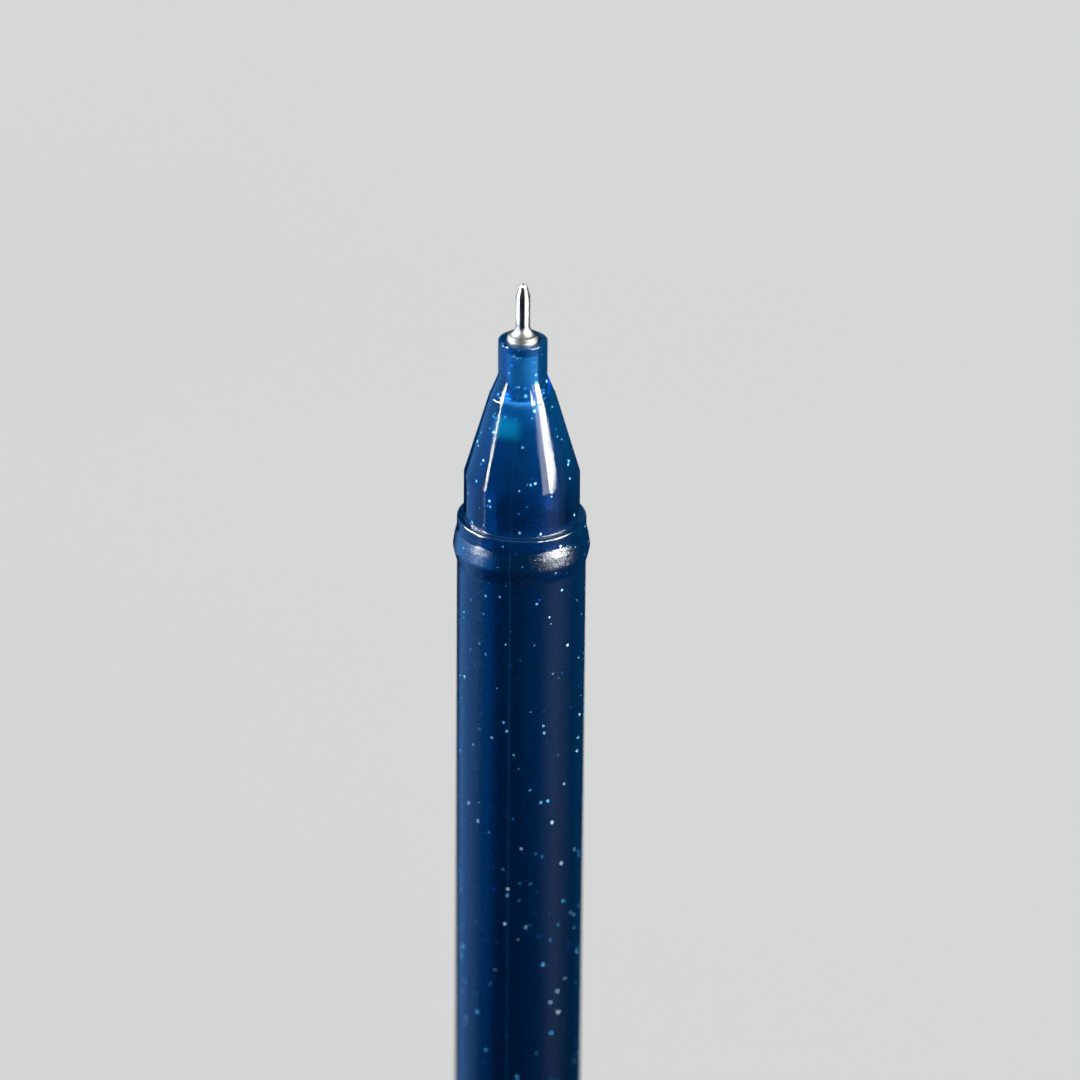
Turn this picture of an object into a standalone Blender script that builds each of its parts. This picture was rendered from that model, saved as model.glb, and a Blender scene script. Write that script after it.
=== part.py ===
"""A capped needle-point gel pen, standing tip up with its cap posted on the tail.

Frame: metres, +Z from the tail towards the writing tip, origin at the centre of the posted cap's flat
end face. The pen is round about +Z, and the pocket clip is on the -Y side.
"""

import math

import bmesh
import bpy

MM = 0.001

# ---- driving dimensions, millimetres ----
CAP_LEN = 52.0          # cap, closed end to mouth
TAIL_Z = 28.0           # barrel's tail end, with the cap posted
SHOULDER_Z = 147.8      # shoulder plane where the barrel steps down to the nose
BARREL_R = 5.2          # barrel outer radius
BORE_R = 4.0            # barrel bore radius
NOSE_BASE_R = 4.674     # cylinder at the root of the nose
NOSE_BASE_TOP = 3.69    # its top, above the shoulder
CONE_TOP, CONE_TOP_R = 10.64, 2.65
NECK_LOW, NECK_TOP, NECK_R = 12.3, 15.42, 1.975
NECK_BORE_R = 1.32
RING_R = 5.52           # crest of the cap snap ring
BALL_R = 0.25
BALL_Z = 19.97          # ball centre above the shoulder
NEEDLE_R = 0.55
TUBE_R, TUBE_BORE_R = 3.05, 2.3
REFILL_Z = 36.05        # open end of the ink tube
TUBE_TOP = 1.1          # top of the ink tube, above the shoulder
INK_LOW = 75.0          # lower end of the ink, filled
FOLLOWER_LEN = 8.0
CLIP_W, CLIP_T = 3.6, 0.8
CLIP_PIVOT_Y, CLIP_PIVOT_Z = -5.6, 3.8

# ---- start clean ----
for old in list(bpy.data.objects):
    bpy.data.objects.remove(old, do_unlink=True)

parts = bpy.data.collections.new("gel_pen")
cutters = bpy.data.collections.new("gel_pen_cutters")
bpy.context.scene.collection.children.link(parts)
bpy.context.scene.collection.children.link(cutters)


def material(name, colour, roughness, metallic=0.0):
    m = bpy.data.materials.new(name)
    m.use_nodes = True
    b = m.node_tree.nodes["Principled BSDF"]
    b.inputs["Base Color"].default_value = (*colour, 1.0)
    b.inputs["Roughness"].default_value = roughness
    b.inputs["Metallic"].default_value = metallic
    return m


def link(obj, mat, parent=None, group=parts):
    group.objects.link(obj)
    if mat:
        obj.data.materials.append(mat)
    if parent:
        obj.parent = parent
    return obj


def joint_frame(name, x, y, z, parent=None):
    """An empty on a joint's axis; its world place is (x, y, z) mm."""
    e = bpy.data.objects.new(name, None)
    parts.objects.link(e)
    base = parent["at"] if parent else (0.0, 0.0, 0.0)
    e.parent = parent
    e.location = ((x - base[0]) * MM, (y - base[1]) * MM, (z - base[2]) * MM)
    e["at"] = (x, y, z)
    return e


def turned(name, profile, steps, mat, parent, closed):
    """A piece turned about +Z. The profile is (radius, height) in mm, down the outer side first."""
    base = parent["at"] if parent else (0.0, 0.0, 0.0)
    bm = bmesh.new()
    vs = [bm.verts.new((r * MM, 0.0, (z - base[2]) * MM)) for r, z in profile]
    for a, b in zip(vs, vs[1:]):
        bm.edges.new((a, b))
    if closed:
        bm.edges.new((vs[-1], vs[0]))
    me = bpy.data.meshes.new(name)
    bm.to_mesh(me)
    bm.free()
    obj = bpy.data.objects.new(name, me)
    link(obj, mat, parent)
    obj.location = (-base[0] * MM, -base[1] * MM, 0.0) if parent else (0.0, 0.0, 0.0)
    s = obj.modifiers.new("turn", "SCREW")
    s.axis = "Z"
    s.angle = 2 * math.pi
    s.steps = s.render_steps = steps
    s.use_merge_vertices = True
    s.merge_threshold = 1e-7
    s.use_smooth_shade = True
    return obj


def arc(cx, cz, r, a0, a1, n):
    """Points on a circle of radius r about (cx, cz), angles in degrees."""
    return [
        (cx + r * math.cos(math.radians(a0 + (a1 - a0) * i / n)), cz + r * math.sin(math.radians(a0 + (a1 - a0) * i / n)))
        for i in range(n + 1)
    ]


# ---- materials ----
blue_clear = material("blue_glitter_plastic", (0.01, 0.07, 0.22), 0.12)
blue_solid = material("blue_plug_plastic", (0.01, 0.05, 0.2), 0.3)
steel = material("needle_steel", (0.66, 0.65, 0.62), 0.22, 1.0)
carbide = material("ball_carbide", (0.42, 0.42, 0.44), 0.15, 1.0)
spring_steel = material("spring_steel", (0.55, 0.55, 0.56), 0.3, 1.0)
holder_mat = material("holder_plastic", (0.75, 0.82, 0.88), 0.35)
tube_mat = material("tube_plastic", (0.82, 0.86, 0.9), 0.3)
ink_mat = material("gel_ink", (0.005, 0.02, 0.12), 0.25)
grease = material("follower_grease", (0.8, 0.78, 0.66), 0.3)
seal_mat = material("seal_plastic", (0.8, 0.82, 0.85), 0.5)
pad_mat = material("pad_rubber", (0.05, 0.05, 0.06), 0.8)
clip_mat = material("clip_steel", (0.7, 0.7, 0.71), 0.25, 1.0)

Z = SHOULDER_Z

# ---- barrel, collar, snap ring and nose: one moulding ----
barrel_profile = (
    # nose rim and neck
    arc(NECK_R - 0.1, Z + NECK_TOP - 0.1, 0.1, 90, 0, 2)
    + [(NECK_R, Z + NECK_LOW + 0.12), (NECK_R + 0.05, Z + NECK_LOW - 0.1)]
    # flare, small edge, main cone, root cylinder
    + [(CONE_TOP_R - 0.06, Z + CONE_TOP + 0.02), (CONE_TOP_R, Z + CONE_TOP - 0.02)]
    + [(NOSE_BASE_R - 0.02, Z + NOSE_BASE_TOP + 0.06), (NOSE_BASE_R, Z + NOSE_BASE_TOP - 0.06)]
    + [(NOSE_BASE_R, Z)]
    # shoulder lip and collar
    + arc(BARREL_R - 0.26, Z - 0.28, 0.28, 90, 0, 3)
    + [(BARREL_R + 0.02, Z - 1.02)]
    # snap ring
    + [(5.36, Z - 1.6), (5.48, Z - 2.2), (RING_R, Z - 2.66), (5.46, Z - 3.15), (5.3, Z - 3.6), (BARREL_R, Z - 3.95)]
    # plain barrel and tail edge
    + [(BARREL_R, TAIL_Z + 0.25), (BARREL_R - 0.25, TAIL_Z)]
    # up the inside: bore, taper, holder bore, step, neck bore
    + [(BORE_R, TAIL_Z), (BORE_R, Z - 2.0), (3.6, Z + 2.0), (2.0, Z + 9.0), (2.0, Z + 10.8), (NECK_BORE_R, Z + 10.8)]
    + [(NECK_BORE_R, Z + NECK_TOP)]
)
turned("barrel", barrel_profile, 48, blue_clear, None, True)

# ---- end plug: flange, ribbed body, vent hole ----
tail = joint_frame("plug_axis", 0, 0, TAIL_Z)
plug_top = REFILL_Z - 0.06
turned(
    "end_plug",
    [
        (3.7, plug_top), (3.92, plug_top - 0.4), (3.92, TAIL_Z - 0.05), (4.35, TAIL_Z - 0.05), (4.5, TAIL_Z - 0.2),
        (4.5, TAIL_Z - 1.0), (4.3, TAIL_Z - 1.2), (0.6, TAIL_Z - 1.2), (0.6, plug_top - 3.0), (1.6, plug_top - 2.0), (1.6, plug_top),
    ],
    32, blue_solid, tail, True,
)

# ---- refill ----
refill = joint_frame("refill_axis", 0, 0, REFILL_Z)
turned(
    "ink_tube",
    [(TUBE_R, Z + TUBE_TOP), (TUBE_R, REFILL_Z), (TUBE_BORE_R, REFILL_Z), (TUBE_BORE_R, Z + TUBE_TOP)],
    32, tube_mat, refill, True,
)
turned(
    "tip_holder",
    [
        (1.16, Z + 14.4), (1.22, Z + 14.3), (1.22, Z + 10.5), (1.78, Z + 10.5), (1.88, Z + 10.35), (1.88, Z + 6.2),
        (2.25, Z + 5.0), (2.25, Z + 4.2), (2.95, Z + 2.6), (TUBE_R, Z + 2.4), (TUBE_R, Z + 1.2), (2.26, Z + 1.2), (2.26, Z - 3.9),
        (2.1, Z - 4.2), (0.8, Z - 4.2), (0.8, Z + 8.0), (0.98, Z + 8.0), (0.98, Z + 14.4),
    ],
    24, holder_mat, refill, True,
)

SEAT = BALL_Z - 0.148
turned(
    "needle_tip",
    [
        # crimped lip over the ball, bullet nose, needle
        (0.29, Z + 20.06), (0.375, Z + 19.82), (0.5, Z + 19.35), (0.565, Z + 19.08), (NEEDLE_R, Z + 19.0), (NEEDLE_R, Z + 16.5),
        # concave flare, flange, collar, shank
        (0.6, Z + 16.38), (0.7, Z + 16.2), (0.86, Z + 16.02), (1.12, Z + 15.86), (1.27, Z + 15.8),
        (1.27, Z + 14.5), (0.95, Z + 14.5), (0.95, Z + 8.2), (0.85, Z + 8.05),
        # up the inside: crimped rear lip, spring bore, needle bore, channel, seat, socket, lip
        (0.42, Z + 8.05), (0.42, Z + 8.35), (0.72, Z + 8.45), (0.72, Z + 14.6), (0.33, Z + 15.6), (0.33, Z + 19.2),
        (0.12, Z + 19.35), (0.12, Z + SEAT - 0.142), (0.262, Z + SEAT), (0.262, Z + BALL_Z + 0.02), (0.244, Z + 20.06),
    ],
    24, steel, refill, True,
)

# ink, from the holder's end down to the grease
ink_top = Z - 4.5
turned(
    "ink_column",
    [(0.0, ink_top), (TUBE_BORE_R - 0.03, ink_top), (TUBE_BORE_R - 0.03, INK_LOW), (0.0, INK_LOW)],
    24, ink_mat, refill, False,
)
follower = joint_frame("follower_axis", 0, 0, INK_LOW - 0.05, refill)
turned(
    "ink_follower",
    [(0.0, INK_LOW - 0.05), (TUBE_BORE_R - 0.03, INK_LOW - 0.05), (TUBE_BORE_R - 0.03, INK_LOW - FOLLOWER_LEN), (1.0, INK_LOW - FOLLOWER_LEN + 0.5), (0.0, INK_LOW - FOLLOWER_LEN + 0.7)],
    24, grease, follower, False,
)

# ---- tip spring: coil that closes to a straight pin behind the ball ----
spring_axis = joint_frame("spring_axis", 0, 0, Z + 8.5, refill)
COIL_R, WIRE_R, TURNS, PER_TURN = 0.52, 0.085, 8, 10
coil_low, coil_high, pin_top = 8.5, 13.4, BALL_Z - BALL_R - 0.02
pts = []
for i in range(TURNS * PER_TURN + 1):
    t = i / PER_TURN
    a = 2 * math.pi * t
    # the end turns sit close together, the middle ones are open
    lift = coil_low + (coil_high - coil_low) * (t / TURNS)
    pts.append((COIL_R * math.cos(a), COIL_R * math.sin(a), lift))
for i in range(1, 8):
    k = i / 8
    a = 2 * math.pi * (k * 0.7)
    pts.append((COIL_R * (1 - k) * math.cos(a), COIL_R * (1 - k) * math.sin(a), coil_high + 1.3 * k))
pts += [(0.0, 0.0, coil_high + 1.7), (0.0, 0.0, 16.8), (0.0, 0.0, pin_top)]
cu = bpy.data.curves.new("tip_spring", "CURVE")
cu.dimensions = "3D"
cu.bevel_depth = WIRE_R * MM
cu.bevel_resolution = 1
cu.use_fill_caps = True
sp = cu.splines.new("POLY")
sp.points.add(len(pts) - 1)
for p, (x, y, z) in zip(sp.points, pts):
    p.co = (x * MM, y * MM, (z - 8.5) * MM, 1.0)
spring = bpy.data.objects.new("tip_spring", cu)
link(spring, spring_steel, spring_axis)

# ---- ball ----
ball_axis = joint_frame("ball_axis", 0, 0, Z + BALL_Z, spring_axis)
bm = bmesh.new()
bmesh.ops.create_uvsphere(bm, u_segments=20, v_segments=12, radius=BALL_R * MM)
me = bpy.data.meshes.new("ball")
bm.to_mesh(me)
bm.free()
me.shade_smooth()
link(bpy.data.objects.new("ball", me), carbide, ball_axis)

# ---- cap ----
cap = joint_frame("cap_axis", 0, 0, 0)
SEPTUM_LOW, SEPTUM_TOP = 4.7, 5.5
LEDGE = TAIL_Z - 0.05
cap_shell = turned(
    "cap_shell",
    [
        # mouth, outer side, closed end edge
        (5.9, CAP_LEN), (6.2, CAP_LEN - 0.1), (6.3, CAP_LEN - 0.4), (6.28, 40.0), (6.1, 6.0), (6.0, 1.3), (5.75, 0.8),
        # end bore and septum with its vent hole
        (4.93, 0.8), (4.93, SEPTUM_LOW), (0.7, SEPTUM_LOW), (0.7, SEPTUM_TOP), (4.72, SEPTUM_TOP),
        # bore past the nose, ledge, collar bore, ring groove, bead, mouth bore
        (4.72, LEDGE), (5.28, LEDGE), (5.28, 29.4), (5.66, 29.8), (5.66, 31.9), (5.46, 32.4), (5.46, 32.9), (5.56, 33.4),
        (5.56, CAP_LEN - 0.5), (5.75, CAP_LEN),
    ],
    48, blue_clear, cap, True,
)

# slot through the wall for the clip's tab
bm = bmesh.new()
bmesh.ops.create_cube(bm, size=1.0)
me = bpy.data.meshes.new("clip_slot")
bm.to_mesh(me)
bm.free()
slot = bpy.data.objects.new("clip_slot", me)
link(slot, None, cap, cutters)
slot.scale = ((CLIP_W + 0.5) * MM, 3.0 * MM, 1.2 * MM)
slot.location = (0.0, -5.6 * MM, 3.78 * MM)
slot.hide_render = True
slot.display_type = "WIRE"
cut = cap_shell.modifiers.new("slot", "BOOLEAN")
cut.operation = "DIFFERENCE"
cut.solver = "EXACT"
cut.object = slot

turned(
    "cap_top_plug",
    [(0.0, 3.1), (4.6, 3.1), (4.85, 2.9), (4.85, 0.75), (5.3, 0.75), (5.45, 0.62), (5.45, 0.3), (5.15, 0.0), (0.0, 0.0)],
    32, blue_solid, cap, False,
)
SEAL_RIM = 15.2
turned(
    "cap_inner_seal",
    [
        # cup floor, inner wall, sealing lip and rim
        (0.0, 6.2), (2.2, 6.2), (2.2, 12.6), (2.05, 13.0), (2.05, SEAL_RIM - 0.4), (2.32, SEAL_RIM), (2.5, SEAL_RIM),
        # outer wall, centring flange, underside
        (2.75, SEAL_RIM - 0.3), (2.75, 7.2), (2.95, 6.6), (4.6, 6.6), (4.6, 5.56), (0.0, 5.56),
    ],
    32, seal_mat, cap, False,
)
turned(
    "cap_tip_pad",
    [(0.0, 7.6), (1.7, 7.6), (2.1, 7.2), (2.1, 6.25), (0.0, 6.25)],
    24, pad_mat, cap, False,
)

# ---- pocket clip: side outline (y, z) in mm, extruded across its width ----
clip_axis = joint_frame("clip_axis", 0, CLIP_PIVOT_Y, CLIP_PIVOT_Z, cap)
T = CLIP_T
outline = (
    [(-3.2, 3.4), (-3.2, 4.2), (-6.9, 4.2)]
    + arc(-6.9, 4.7, 0.5, 270, 180, 3)
    # inner face up to the pad, pad, turned-out end
    + [(-7.4, 31.0), (-6.9, 34.6), (-6.45, 36.6), (-6.42, 37.4), (-6.75, 38.9), (-7.9, 41.2), (-8.5, 41.6)]
    + [(-8.75, 41.0), (-7.55, 38.4), (-7.25, 37.2), (-7.6, 35.2), (-8.2, 31.4)]
    + arc(-6.9, 4.7, 1.3, 180, 270, 4)
)
cu = bpy.data.curves.new("clip_outline", "CURVE")
cu.dimensions = "2D"
cu.fill_mode = "BOTH"
cu.extrude = CLIP_W / 2 * MM
sp = cu.splines.new("POLY")
sp.points.add(len(outline) - 1)
for p, (y, z) in zip(sp.points, outline):
    p.co = ((y - CLIP_PIVOT_Y) * MM, (z - CLIP_PIVOT_Z) * MM, 0.0, 1.0)
sp.use_cyclic_u = True
guide = bpy.data.objects.new("clip_outline", cu)
parts.objects.link(guide)
bpy.context.view_layer.update()
me = bpy.data.meshes.new_from_object(guide.evaluated_get(bpy.context.evaluated_depsgraph_get()))
bpy.data.objects.remove(guide, do_unlink=True)
bm = bmesh.new()
bm.from_mesh(me)
bmesh.ops.remove_doubles(bm, verts=bm.verts, dist=1e-6)
bm.to_mesh(me)
bm.free()
me.name = "cap_clip"
clip = bpy.data.objects.new("cap_clip", me)
link(clip, clip_mat, clip_axis)
clip.rotation_euler = (math.radians(90), 0.0, math.radians(90))
bev = clip.modifiers.new("edges", "BEVEL")
bev.width = 0.12 * MM
bev.segments = 1
bev.limit_method = "ANGLE"
bev.angle_limit = math.radians(60)
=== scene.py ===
import math
import random

import bmesh
import bpy
from mathutils import Matrix, Vector


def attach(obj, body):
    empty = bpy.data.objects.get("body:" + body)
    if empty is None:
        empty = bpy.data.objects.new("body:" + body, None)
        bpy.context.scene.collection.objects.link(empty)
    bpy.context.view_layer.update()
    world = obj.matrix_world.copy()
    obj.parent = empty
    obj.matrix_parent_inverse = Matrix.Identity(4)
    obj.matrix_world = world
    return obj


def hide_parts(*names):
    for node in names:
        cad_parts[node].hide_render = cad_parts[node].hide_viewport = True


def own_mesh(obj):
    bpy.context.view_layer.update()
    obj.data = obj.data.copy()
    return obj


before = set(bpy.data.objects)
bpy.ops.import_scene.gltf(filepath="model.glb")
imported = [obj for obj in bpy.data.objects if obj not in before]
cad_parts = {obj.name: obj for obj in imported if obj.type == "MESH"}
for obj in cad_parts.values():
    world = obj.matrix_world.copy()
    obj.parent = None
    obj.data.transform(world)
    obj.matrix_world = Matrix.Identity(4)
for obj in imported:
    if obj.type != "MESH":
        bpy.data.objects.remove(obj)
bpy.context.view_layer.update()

MM = 0.001
SHOULDER = 147.8   # shoulder plane, mm
TAIL = 28.0        # tail end of the barrel, mm
REFILL = 36.05     # open end of the refill tube, mm
PART_AZ = -10.0    # azimuth of the mould's parting line from -Y, degrees
S = bpy.context.scene
collection = S.collection


# ------------------------------------------------------------------ geometry
def rounded(points, step=7.0):
    """(r, z[, fillet]) corners to a polyline with arcs of the given fillet radii."""
    out = []
    n = len(points)
    for i, p in enumerate(points):
        r, z = p[0], p[1]
        f = p[2] if len(p) > 2 else 0.0
        if f <= 0 or i in (0, n - 1):
            out.append((r, z))
            continue
        a, b = Vector(points[i - 1][:2]), Vector(points[i + 1][:2])
        c = Vector((r, z))
        u, v = (a - c), (b - c)
        lu, lv = u.length, v.length
        u.normalize(); v.normalize()
        cosang = max(-1.0, min(1.0, u.dot(v)))
        ang = math.acos(cosang)
        if ang > math.radians(178):
            out.append((r, z))
            continue
        t = min(f / math.tan(ang / 2), lu * 0.49, lv * 0.49)
        f = t * math.tan(ang / 2)
        mid = (u + v).normalized()
        centre = c + mid * (f / math.sin(ang / 2))
        p0, p1 = c + u * t, c + v * t
        d0, d1 = p0 - centre, p1 - centre
        sweep = math.pi - ang
        k = max(2, int(math.degrees(sweep) / step) + 1)
        a0, a1 = math.atan2(d0.y, d0.x), math.atan2(d1.y, d1.x)
        da = (a1 - a0 + math.pi) % (2 * math.pi) - math.pi
        for j in range(k + 1):
            aa = a0 + da * j / k
            out.append((centre.x + f * math.cos(aa), centre.y + f * math.sin(aa)))
    return out


def subdivide(poly, longest):
    out = [poly[0]]
    for a, b in zip(poly, poly[1:]):
        d = math.hypot(b[0] - a[0], b[1] - a[1])
        k = max(1, math.ceil(d / longest))
        for j in range(1, k + 1):
            out.append((a[0] + (b[0] - a[0]) * j / k, a[1] + (b[1] - a[1]) * j / k))
    return out


def even_angles(n):
    return [2 * math.pi * i / n for i in range(n)]


def seam_angles(n):
    """Even columns, with finer ones over the two parting lines."""
    found = set(round(360.0 * i / n, 4) for i in range(n))
    for base in (PART_AZ, PART_AZ + 180.0):
        found = {a for a in found if abs((a - base + 180) % 360 - 180) > 1.9}
        for off in (-1.8, -1.2, -0.8, -0.5, -0.25, 0.0, 0.25, 0.5, 0.8, 1.2, 1.8):
            found.add(round((base + off) % 360.0, 4))
    return [math.radians(a) for a in sorted(found)]


def lathe(name, poly, angles, closed=True, offset=None, sharp=40.0):
    """Turns a polyline of (r, z) mm about +Z. Angles run from -Y towards +X. offset(i, angle) adds to a radius."""
    verts, faces = [], []
    n, m = len(poly), len(angles)
    rings = []
    for i, (r, z) in enumerate(poly):
        if r < 1e-6:
            rings.append([len(verts)] * m)
            verts.append((0.0, 0.0, z * MM))
            continue
        ring = []
        for a in angles:
            rr = (r + (offset(i, a) if offset else 0.0)) * MM
            ring.append(len(verts))
            verts.append((rr * math.sin(a), -rr * math.cos(a), z * MM))
        rings.append(ring)
    pairs = list(range(n if closed else n - 1))
    for i in pairs:
        lo, hi = rings[i], rings[(i + 1) % n]
        for j in range(m):
            k = (j + 1) % m
            quad = [lo[j], hi[j], hi[k], lo[k]]
            quad = [q for t, q in enumerate(quad) if q != quad[t - 1]]
            if len(quad) > 2:
                faces.append(quad)
    me = bpy.data.meshes.new(name)
    me.from_pydata(verts, [], faces)
    me.validate()
    bm = bmesh.new()
    bm.from_mesh(me)
    bmesh.ops.recalc_face_normals(bm, faces=bm.faces)
    bm.to_mesh(me)
    bm.free()
    me.shade_smooth()
    me.set_sharp_from_angle(angle=math.radians(sharp))
    ob = bpy.data.objects.new(name, me)
    collection.objects.link(ob)
    return ob


def finish_piece(ob, mats, body, replaced=None):
    for m in mats:
        ob.data.materials.append(m)
    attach(ob, body)
    if replaced:
        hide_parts(replaced)
    return ob


# ------------------------------------------------------------------ node helpers
class Net:
    """A material's node tree, with short calls."""

    def __init__(self, name):
        self.m = bpy.data.materials.new(name)
        self.m.use_nodes = True
        self.t = self.m.node_tree
        self.t.nodes.clear()
        self.out = self.t.nodes.new("ShaderNodeOutputMaterial")
        self.coord = None

    def n(self, kind, **values):
        node = self.t.nodes.new(kind)
        for k, v in values.items():
            if k.startswith("_"):
                setattr(node, k[1:], v)
            else:
                node.inputs[k.replace("__", " ")].default_value = v
        return node

    def l(self, a, b):
        self.t.links.new(a, b)

    def obj(self):
        if not self.coord:
            self.coord = self.n("ShaderNodeTexCoord")
        return self.coord.outputs["Object"]

    def noise(self, scale, detail=3.0, rough=0.5, vec=None, dist=0.0):
        x = self.n("ShaderNodeTexNoise")
        x.inputs["Scale"].default_value = scale
        x.inputs["Detail"].default_value = detail
        x.inputs["Roughness"].default_value = rough
        x.inputs["Distortion"].default_value = dist
        self.l(vec or self.obj(), x.inputs["Vector"])
        return x.outputs["Fac"]

    def voronoi(self, scale, feature="F1", vec=None, out="Distance"):
        x = self.n("ShaderNodeTexVoronoi", _feature=feature)
        x.inputs["Scale"].default_value = scale
        self.l(vec or self.obj(), x.inputs["Vector"])
        return x.outputs[out]

    def math(self, op, a, b=0.0, c=None, clamp=False):
        x = self.n("ShaderNodeMath", _operation=op, _use_clamp=clamp)
        for i, v in enumerate((a, b) if c is None else (a, b, c)):
            if isinstance(v, (int, float)):
                x.inputs[i].default_value = v
            else:
                self.l(v, x.inputs[i])
        return x.outputs[0]

    def range(self, v, a, b, c, d, smooth=False):
        x = self.n("ShaderNodeMapRange", _clamp=True, _interpolation_type="SMOOTHSTEP" if smooth else "LINEAR")
        self.l(v, x.inputs["Value"])
        for key, val in (("From Min", a), ("From Max", b), ("To Min", c), ("To Max", d)):
            if isinstance(val, (int, float)):
                x.inputs[key].default_value = val
            else:
                self.l(val, x.inputs[key])
        return x.outputs["Result"]

    def mixc(self, f, a, b):
        x = self.n("ShaderNodeMix", _data_type="RGBA")
        for key, v in ((0, f), (6, a), (7, b)):
            if isinstance(v, (int, float)):
                x.inputs[key].default_value = v
            elif isinstance(v, tuple):
                x.inputs[key].default_value = (*v, 1.0) if len(v) == 3 else v
            else:
                self.l(v, x.inputs[key])
        return x.outputs[2]

    def mixf(self, f, a, b):
        x = self.n("ShaderNodeMix", _data_type="FLOAT")
        for key, v in ((0, f), (2, a), (3, b)):
            if isinstance(v, (int, float)):
                x.inputs[key].default_value = v
            else:
                self.l(v, x.inputs[key])
        return x.outputs[0]

    def ramp(self, v, stops):
        x = self.n("ShaderNodeValToRGB")
        e = x.color_ramp.elements
        while len(e) > 1:
            e.remove(e[-1])
        e[0].position = stops[0][0]
        e[0].color = (*stops[0][1], 1.0)
        for p, c in stops[1:]:
            k = e.new(p)
            k.color = (*c, 1.0)
        self.l(v, x.inputs["Fac"])
        return x.outputs["Color"]

    def bump(self, height, distance, strength=1.0, normal=None):
        x = self.n("ShaderNodeBump")
        x.inputs["Strength"].default_value = strength
        x.inputs["Distance"].default_value = distance
        self.l(height, x.inputs["Height"])
        if normal:
            self.l(normal, x.inputs["Normal"])
        return x.outputs["Normal"]

    def z(self):
        x = self.n("ShaderNodeSeparateXYZ")
        self.l(self.obj(), x.inputs[0])
        return x.outputs["Z"]

    def principled(self, **values):
        p = self.n("ShaderNodeBsdfPrincipled")
        for k, v in values.items():
            key = k.replace("__", " ")
            if isinstance(v, (int, float)):
                p.inputs[key].default_value = v
            elif isinstance(v, tuple):
                p.inputs[key].default_value = (*v, 1.0) if len(v) == 3 else v
            else:
                self.l(v, p.inputs[key])
        return p

    def through_for_lamps(self, shader, tint):
        """Lets lamp rays pass, tinted, so what lies inside is lit without caustics."""
        path = self.n("ShaderNodeLightPath")
        clear = self.n("ShaderNodeBsdfTransparent")
        clear.inputs["Color"].default_value = (*tint, 1.0)
        mix = self.n("ShaderNodeMixShader")
        self.l(path.outputs["Is Shadow Ray"], mix.inputs[0])
        self.l(shader, mix.inputs[1])
        self.l(clear.outputs[0], mix.inputs[2])
        return mix.outputs[0]

    def done(self, surface, volume=None):
        self.l(surface, self.out.inputs["Surface"])
        if volume:
            self.l(volume, self.out.inputs["Volume"])
        return self.m


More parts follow.
